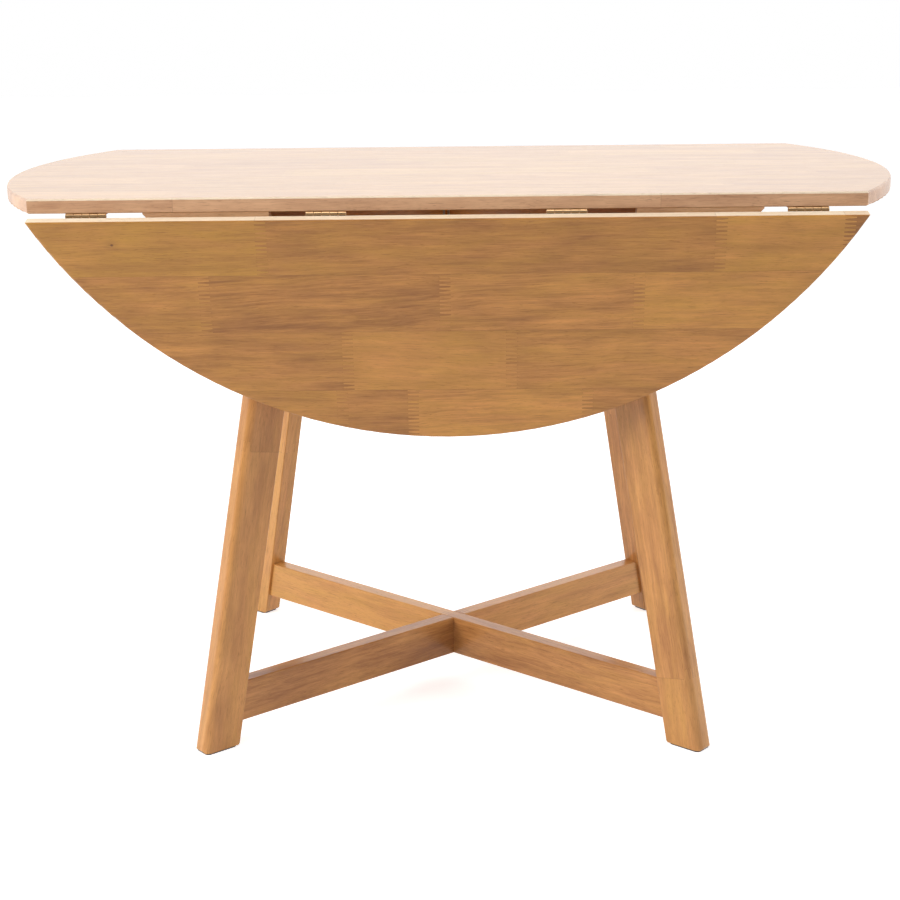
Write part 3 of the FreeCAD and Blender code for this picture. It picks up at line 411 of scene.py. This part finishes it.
# Dowels: plain beech pins, two in each leg head. They are glued into the leg and the rail above it
# and hidden in the joint.
BEECH_DARK, BEECH_LIGHT = (0.50, 0.33, 0.18, 1.0), (0.68, 0.50, 0.31, 1.0)
BEECH_FLECKS, FLECK_DETAIL = (400.0, 400.0, 40.0), 2.0
BEECH_ROUGH, FLECK_ROUGH = 0.55, 0.2
dowel_beech, place = new_finish("dowel_beech")
fleck = place.stretched(*BEECH_FLECKS).noise(1.0, FLECK_DETAIL)
close_finish(place, {
    "Base Color": fleck.blended(BEECH_DARK, BEECH_LIGHT), "Roughness": BEECH_ROUGH + fleck * FLECK_ROUGH,
})
dress(dowel_beech, "leg_dowels")

# Foot pads: dark rubber sheets under the four feet, glued on and set in a little from the edges,
# so that they show as a dark line above the floor.
RUBBER_DARK, RUBBER_LIGHT = (0.030, 0.030, 0.034, 1.0), (0.075, 0.073, 0.072, 1.0)
CRUMBS, CRUMB_STRENGTH, CRUMB_HEIGHT = (900.0, 3.0), 0.4, 0.0003
RUBBER_ROUGH, CRUMB_ROUGH = 0.75, 0.2
pad_rubber, place = new_finish("pad_rubber")
crumb = place.noise(*CRUMBS)
close_finish(place, {
    "Base Color": crumb.blended(RUBBER_DARK, RUBBER_LIGHT),
    "Roughness": RUBBER_ROUGH + crumb * CRUMB_ROUGH,
    "Normal": crumb.relief(CRUMB_STRENGTH, CRUMB_HEIGHT),
})
dress(pad_rubber, *(f"foot_pad_{name}" for name in LEGS))

# Butt hinges: eight pairs of brass-plated plates rolled round a pin, four pairs for each leaf,
# screwed to the undersides with countersunk screws. The underside of the rolls is darkened as
# painted shade, and at the ends of the knuckles the painted shade is lifted as painted light.
BRASS_DARK, BRASS_LIGHT = (0.60, 0.36, 0.17, 1.0), (0.80, 0.53, 0.29, 1.0)
# The colour of the painted shade under the rolls.
PAINTED_SHADE = (0.19, 0.105, 0.042, 1.0)
BRUSH_MARKS, TARNISH_CLOUDS = (60.0, 2600.0, 2.0), (90.0, 3.0)
BRUSH_STRENGTH, BRUSH_HEIGHT = 0.10, 0.00005
BRASS_ROUGH, TARNISH_ROUGH, BRUSH_ROUGH = 0.26, 0.14, 0.08
ROLL_SHARES, PAINTED_SHADE_SHARES = (1.1, 1.3), (-0.2, 0.3)
KNUCKLE, KNUCKLE_END_SHARES, KNUCKLE_LIGHT = 0.0102, (0.70, 0.92), 0.8
HINGES_PER_LEAF, HINGE_SPACING = 4, 0.29801
satin_brass, place = new_finish("satin_brass")
brushed = place.grain(*BRUSH_MARKS)
tarnish = place.noise(*TARNISH_CLOUDS)
lengthways, sideways, level = place.node("ShaderNodeSeparateXYZ", None, {0: place}, (0, 1, 2))
out, down = abs(sideways) - hinge_line, hinge_level - level
from_pin = place.math("SQRT", out * out + down * down)
in_roll = 1 - from_pin.between(*(PIN_DROP * share for share in ROLL_SHARES))
below = down.between(*(PIN_DROP * share for share in PAINTED_SHADE_SHARES))
from_middle = ((lengthways * (1 / HINGE_SPACING)).saw() - 0.5) * HINGE_SPACING
knuckle_end_light = (from_middle * (1 / KNUCKLE) + 0.5).zigzag().between(*KNUCKLE_END_SHARES)
# Painted shade on the brass below the pin, lifted as painted light at the knuckle ends.
painted_shade_mask = in_roll * below * (1 - knuckle_end_light * KNUCKLE_LIGHT)
close_finish(place, {
    "Base Color": painted_shade_mask.blended(tarnish.blended(BRASS_DARK, BRASS_LIGHT), PAINTED_SHADE), "Metallic": 1.0,
    "Roughness": BRASS_ROUGH + tarnish * TARNISH_ROUGH + brushed * BRUSH_ROUGH,
    "Normal": brushed.relief(BRUSH_STRENGTH, BRUSH_HEIGHT),
})
dress(satin_brass, "hinge_pins")
for end in ("front", "rear"):
    for part in ("panel", "leaf"):
        dress(satin_brass, *(f"{end}_{part}_plate_{i + 1}" for i in range(HINGES_PER_LEAF)))

# Folding stays: under each leaf an arm and a slotted link of zinc-plated steel strip, riveted at
# the elbow and in two folded brackets, which straighten to hold the leaf level.
STRIP_DARK, STRIP_LIGHT = (0.42, 0.42, 0.41, 1.0), (0.60, 0.60, 0.58, 1.0)
DRAWN_MARKS, STRIP_CLOUDS = (1800.0, 50.0, 2.0), (45.0, 3.0)
DRAWN_STRENGTH, DRAWN_HEIGHT = 0.12, 0.00005
STRIP_ROUGH, CLOUD_ROUGH, DRAWN_ROUGH = 0.28, 0.18, 0.06
STAY_PIECES = ("stay_bracket", "leaf_shoe", "shoe_rivet", "stay_arm", "stay_link", "elbow_rivet")
stay_zinc, place = new_finish("stay_zinc")
drawn = place.grain(*DRAWN_MARKS)
cloud = place.noise(*STRIP_CLOUDS)
close_finish(place, {
    "Base Color": cloud.blended(STRIP_DARK, STRIP_LIGHT), "Metallic": 1.0,
    "Roughness": STRIP_ROUGH + cloud * CLOUD_ROUGH + drawn * DRAWN_ROUGH,
    "Normal": drawn.relief(DRAWN_STRENGTH, DRAWN_HEIGHT),
})
dress(stay_zinc, "stay_rivets")
for end in ("front", "rear"):
    dress(stay_zinc, *(f"{end}_{part}" for part in STAY_PIECES))

# Bolts: eight zinc-plated machine bolts with a hexagon socket. They rise from counterbores in the
# rails, with a washer under each head, into threaded inserts in the panel.
ZINC_DARK, ZINC_LIGHT = (0.46, 0.46, 0.45, 1.0), (0.64, 0.64, 0.62, 1.0)
ZINC_CLOUDS, ZINC_ROUGH, ZINC_CLOUD_ROUGH = (140.0, 3.0), 0.30, 0.2
BOLT_HEAD, BOLT_HEAD_HEIGHT, BOLT_SHANK, BOLT_EASE = 0.0050, 0.0060, 0.0030, 0.0005
SOCKET_RADIUS, SOCKET_DEPTH, SOCKET_SIDES = 0.0029, 0.0032, 6
BOLT_SIDES, BOLT_TURN = 32, math.radians(37.0)
BOLT_REACHES = (0.33207, 0.14102)
SMOOTH_ANGLE = math.radians(35.0)
bolt_zinc, place = new_finish("bolt_zinc")
cloud = place.noise(*ZINC_CLOUDS)
close_finish(place, {
    "Base Color": cloud.blended(ZINC_DARK, ZINC_LIGHT), "Metallic": 1.0,
    "Roughness": ZINC_ROUGH + cloud * ZINC_CLOUD_ROUGH,
})
dress(bolt_zinc, "bolt_washers", "threaded_inserts")


def turned_piece(steps, rings):
    """A solid of revolution that stands on z 0. A ring is its radius and its rise from the last."""
    bpy.ops.object.select_all(action="DESELECT")
    bpy.ops.mesh.primitive_circle_add(vertices=steps, radius=rings[0][0], fill_type="NGON")
    bpy.ops.object.mode_set(mode="EDIT")
    bpy.ops.mesh.select_mode(type="FACE")
    bpy.ops.mesh.select_all(action="SELECT")
    for (before, _), (radius, rise) in zip(rings, rings[1:]):
        bpy.ops.mesh.extrude_region_move(TRANSFORM_OT_translate={"value": (0.0, 0.0, rise)})
        bpy.ops.transform.resize(value=(radius / before, radius / before, 1.0))
    bpy.ops.mesh.select_all(action="SELECT")
    bpy.ops.mesh.normals_make_consistent(inside=False)
    bpy.ops.object.mode_set(mode="OBJECT")
    return bpy.context.object


def sink(piece, bit):
    """Cuts the shape of the bit out of the piece."""
    bpy.ops.object.select_all(action="DESELECT")
    bpy.context.view_layer.objects.active = piece
    piece.select_set(True)
    cut = piece.modifiers.new("recess", "BOOLEAN")
    cut.operation, cut.solver, cut.object = "DIFFERENCE", "EXACT", bit
    bpy.ops.object.modifier_apply(modifier=cut.name)
    bpy.data.objects.remove(bit)
    bpy.ops.object.shade_smooth_by_angle(angle=SMOOTH_ANGLE)


def set_of(name, piece, seats, material, body, node):
    """A copy of the piece in each seat, joined as one set that stands for the CAD node."""
    copies = []
    for seat in seats:
        copy = piece.copy()
        copy.data = piece.data.copy()
        copy.data.transform(seat)
        bpy.context.scene.collection.objects.link(copy)
        copies.append(copy)
    bpy.ops.object.select_all(action="DESELECT")
    for copy in copies:
        copy.select_set(True)
    bpy.context.view_layer.objects.active = copies[0]
    bpy.ops.object.join()
    joined = bpy.context.object
    joined.name = name
    joined.data.materials.clear()
    joined.data.materials.append(material)
    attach(joined, body)
    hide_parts(node)


bolt_low, bolt_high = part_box("panel_bolts")
bolt = turned_piece(BOLT_SIDES, [
    (BOLT_HEAD - BOLT_EASE, 0.0), (BOLT_HEAD, BOLT_EASE), (BOLT_HEAD, BOLT_HEAD_HEIGHT - BOLT_EASE),
    (BOLT_SHANK, 0.0), (BOLT_SHANK, bolt_high.z - bolt_low.z - BOLT_HEAD_HEIGHT - BOLT_EASE),
    (BOLT_SHANK - BOLT_EASE, BOLT_EASE),
])
bpy.ops.object.select_all(action="DESELECT")
bpy.ops.mesh.primitive_cylinder_add(vertices=SOCKET_SIDES, radius=SOCKET_RADIUS, depth=2 * SOCKET_DEPTH)
sink(bolt, bpy.context.object)
bolt_places = [
    (reach * math.cos(FRAME_ANGLE) * hand * side, reach * math.sin(FRAME_ANGLE) * side)
    for side in (-1, 1) for reach in BOLT_REACHES for hand in (1, -1)
]
bolt_seats = [
    Matrix.Translation((x, y, bolt_low.z)) @ Matrix.Rotation(BOLT_TURN * i, 4, "Z")
    for i, (x, y) in enumerate(bolt_places)
]
set_of("socket_bolts", bolt, bolt_seats, bolt_zinc, "frame", "panel_bolts")
bpy.data.objects.remove(bolt)

# Wood screws: countersunk, with a cross recess in the head and a pointed shank. Brass-plated ones
# hold the hinges, three in each plate, and zinc-plated ones hold the stays and the battens.
SCREW_HEAD, SCREW_SHANK, SCREW_LENGTH = 0.0032, 0.0017, 0.0140
SCREW_SINK, SCREW_TIP, TIP_RADIUS, SCREW_SIDES = 0.0015, 0.0034, 0.0004, 24
RECESS_LENGTH, RECESS_WIDTH, RECESS_DEPTH = 0.0038, 0.0009, 0.0011
FIRST_SCREW_TURN, SCREW_TURN = math.radians(20.0), math.radians(47.0)
PLATE_THICKNESS, PLATE_SPREAD, PLATE_ROW, PLATE_STAGGER = 0.0018, 0.0340, 0.0092, 0.0020
FOOT_THICKNESS, FOOT_SPREAD, FOOT_PITCH, FOOT_OFFSET = 0.0025, 0.0280, 0.0340, 0.0017
BRACKET_INSET, SHOE_REACH = 0.1300, 0.1150
BATTEN_GRIP, BATTEN_SCREW_INSET = 0.0065, 0.0380
screw = turned_piece(SCREW_SIDES, [
    (SCREW_HEAD, 0.0), (SCREW_SHANK, SCREW_SINK), (SCREW_SHANK, SCREW_LENGTH - SCREW_SINK - SCREW_TIP),
    (TIP_RADIUS, SCREW_TIP),
])
for long_side, short_side in ((RECESS_LENGTH, RECESS_WIDTH), (RECESS_WIDTH, RECESS_LENGTH)):
    bpy.ops.object.select_all(action="DESELECT")
    bpy.ops.mesh.primitive_cube_add(size=1.0)
    bpy.ops.transform.resize(value=(long_side, short_side, 2 * RECESS_DEPTH))
    bpy.ops.object.transform_apply(location=True, rotation=True, scale=True)
    sink(screw, bpy.context.object)
half_turn = Matrix.Rotation(math.pi, 4, "Z")
upside_down = Matrix.Rotation(math.pi, 4, "X")
front_hang = Matrix.Translation((0.0, -hinge_line, hinge_level)) @ Matrix.Rotation(leaf_turn, 4, "X")


def seats_at(spots, level, hang=None):
    """Seats under the panel, heads down, or on the inner face of a leaf that hangs so."""
    seats = []
    for i, (x, y) in enumerate(spots):
        seat = Matrix.Translation((x, y, level))
        if hang is not None:
            seat = hang @ seat @ upside_down
        seats.append(seat @ Matrix.Rotation(FIRST_SCREW_TURN + SCREW_TURN * i, 4, "Z"))
    return seats


def both_sides(seats):
    """The seats at the front, and those at the rear half a turn away."""
    return seats + [half_turn @ seat for seat in seats]


hinge_places = [(i - (HINGES_PER_LEAF - 1) / 2) * HINGE_SPACING for i in range(HINGES_PER_LEAF)]
plate_screws = [
    (-PLATE_SPREAD / 2, PLATE_ROW), (0.0, PLATE_ROW + PLATE_STAGGER), (PLATE_SPREAD / 2, PLATE_ROW),
]
foot_screws = [(FOOT_SPREAD / 2 * x, FOOT_PITCH / 2 * y) for x in (-1, 1) for y in (-1, 1)]
leaf_spots = [(middle + x, y) for middle in hinge_places for x, y in plate_screws]
panel_spots = [(x, y - hinge_line) for x, y in leaf_spots]
bracket_spots = [(x - FOOT_OFFSET, y + BRACKET_INSET - hinge_line) for x, y in foot_screws]
shoe_spots = [(x + FOOT_OFFSET, y + SHOE_REACH) for x, y in foot_screws]
batten_spots = []
for name in ("front_left", "front_right"):
    low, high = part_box(f"{name}_batten")
    for x in (low.x + BATTEN_SCREW_INSET, high.x - BATTEN_SCREW_INSET):
        batten_spots.append((x, (low.y + high.y) / 2))
seats = both_sides(seats_at(panel_spots, panel_low.z - PLATE_THICKNESS))
set_of("panel_plate_screws", screw, seats, satin_brass, "frame", "panel_hinge_screws")
seats = both_sides(seats_at(bracket_spots, panel_low.z - FOOT_THICKNESS))
set_of("bracket_screws", screw, seats, stay_zinc, "frame", "stay_screws")
seats = both_sides(seats_at(batten_spots, panel_low.z - BATTEN_GRIP))
set_of("sunk_batten_screws", screw, seats, bolt_zinc, "frame", "batten_screws")
for end, hang in (("front", front_hang), ("rear", half_turn @ front_hang)):
    seats = seats_at(leaf_spots, PLATE_THICKNESS - PIN_DROP, hang)
    set_of(f"{end}_leaf_plate_screws", screw, seats, satin_brass, f"{end}_leaf_body",
           f"{end}_leaf_hinge_screws")
    seats = seats_at(shoe_spots, FOOT_THICKNESS - PIN_DROP, hang)
    set_of(f"{end}_leaf_shoe_screws", screw, seats, stay_zinc, f"{end}_leaf_body",
           f"{end}_shoe_screws")
bpy.data.objects.remove(screw)

# Studio: a white floor that runs into a white surround, weak lights overhead and at the back, a
# strong one from the left and a weaker one from the right, both kept out of reflections, and the
# camera where the photograph's was.
FLOOR_SIZE = 24.0
WHITE, FLOOR_GREY = (1.0, 1.0, 1.0, 1.0), (0.85, 0.85, 0.85, 1.0)
FLOOR_ROUGH, FLOOR_GLOW = 0.9, 0.65
RAYS = ("Is Camera Ray", "Is Glossy Ray", "Is Transmission Ray")
bpy.ops.object.select_all(action="DESELECT")
bpy.ops.mesh.primitive_plane_add(size=FLOOR_SIZE, location=(0.0, 0.0, 0.0))
floor = bpy.context.object
floor.name = "studio_floor"
floor_white, place = new_finish("floor_white")
camera_ray, glossy_ray, through_ray = place.node("ShaderNodeLightPath", None, None, RAYS)
seen = (camera_ray + glossy_ray + through_ray) > 0.5
inputs = {"Base Color": FLOOR_GREY, "Roughness": FLOOR_ROUGH}
shader = place.node("ShaderNodeBsdfPrincipled", None, inputs)
glow = place.node("ShaderNodeEmission", None, {"Color": WHITE, "Strength": seen * FLOOR_GLOW})
surface = place.node("ShaderNodeAddShader", None, {0: shader, 1: glow})
place.node("ShaderNodeOutputMaterial", None, {"Surface": surface}, ())
floor.data.materials.append(floor_white)

# The surround is white to the camera, bright at the back and dim at the front in reflections.
ROOM_LIGHT, SURROUND_LIGHT, BACKDROP_LIGHT = 0.15, 0.40, 1.43
BACKDROP_EDGE = (-0.5, 0.3)
world = bpy.data.worlds.new("studio_surround")
bpy.context.scene.world = world
world.use_nodes = True
world.node_tree.nodes.clear()
start = Tone(world.node_tree)
camera_ray, glossy_ray, through_ray = start.node("ShaderNodeLightPath", None, None, RAYS)
mirrored = (glossy_ray + through_ray) > 0.5
facing = start.node("ShaderNodeTexCoord", None, None, "Generated")
to_back = start.node("ShaderNodeSeparateXYZ", None, {0: facing}, 1).between(*BACKDROP_EDGE)
reflected = ROOM_LIGHT + to_back * (BACKDROP_LIGHT - ROOM_LIGHT)
unseen = mirrored * (reflected - SURROUND_LIGHT) + SURROUND_LIGHT
strength = camera_ray + (1.0 - camera_ray) * unseen
sky = start.node("ShaderNodeBackground", None, {"Color": WHITE, "Strength": strength})
start.node("ShaderNodeOutputWorld", None, {"Surface": sky}, ())

# Each light is its place, its width, its power, and whether it shows in reflections.
SOFT_LIGHTS = {
    "overhead": ((0.0, -0.5, 3.0), 1.8, 22.0, True),
    "back": ((0.0, 2.6, 3.0), 2.4, 14.0, True),
    "left": ((-3.4, -1.6, 1.9), 2.2, 114.0, False),
    "right": ((3.4, 0.2, 1.5), 2.0, 54.0, False),
}
AIM = Vector((0.0, 0.0, 0.45))
for name, (where, width, power, reflects) in SOFT_LIGHTS.items():
    lamp = bpy.data.lights.new(f"{name}_softbox", "AREA")
    lamp.size = width
    lamp.energy = power
    holder = bpy.data.objects.new(f"{name}_softbox", lamp)
    holder.location = where
    holder.rotation_euler = (AIM - Vector(where)).to_track_quat("-Z", "Y").to_euler()
    holder.visible_camera = False
    holder.visible_glossy = reflects
    bpy.context.scene.collection.objects.link(holder)

EYE = Vector((0.02959, -2.52420, 1.03212))
YAW, PITCH, ROLL = math.radians(-0.73), math.radians(15.28), math.radians(0.65)
LENS, SENSOR = 71.99, 36.0
forward = Vector((math.sin(YAW) * math.cos(PITCH), math.cos(YAW) * math.cos(PITCH), -math.sin(PITCH)))
right = Vector((math.cos(YAW), -math.sin(YAW), 0.0))
down = forward.cross(right)
tipped_right = right * math.cos(ROLL) + down * math.sin(ROLL)
tipped_down = down * math.cos(ROLL) - right * math.sin(ROLL)
lens = bpy.data.cameras.new("studio_camera")
lens.lens = LENS
lens.sensor_width = SENSOR
camera = bpy.data.objects.new("studio_camera", lens)
camera.matrix_world = Matrix((
    (tipped_right.x, -tipped_down.x, -forward.x, EYE.x),
    (tipped_right.y, -tipped_down.y, -forward.y, EYE.y),
    (tipped_right.z, -tipped_down.z, -forward.z, EYE.z),
    (0.0, 0.0, 0.0, 1.0),
))
bpy.context.scene.collection.objects.link(camera)
bpy.context.scene.camera = camera
bpy.context.scene.view_settings.view_transform = "Standard"
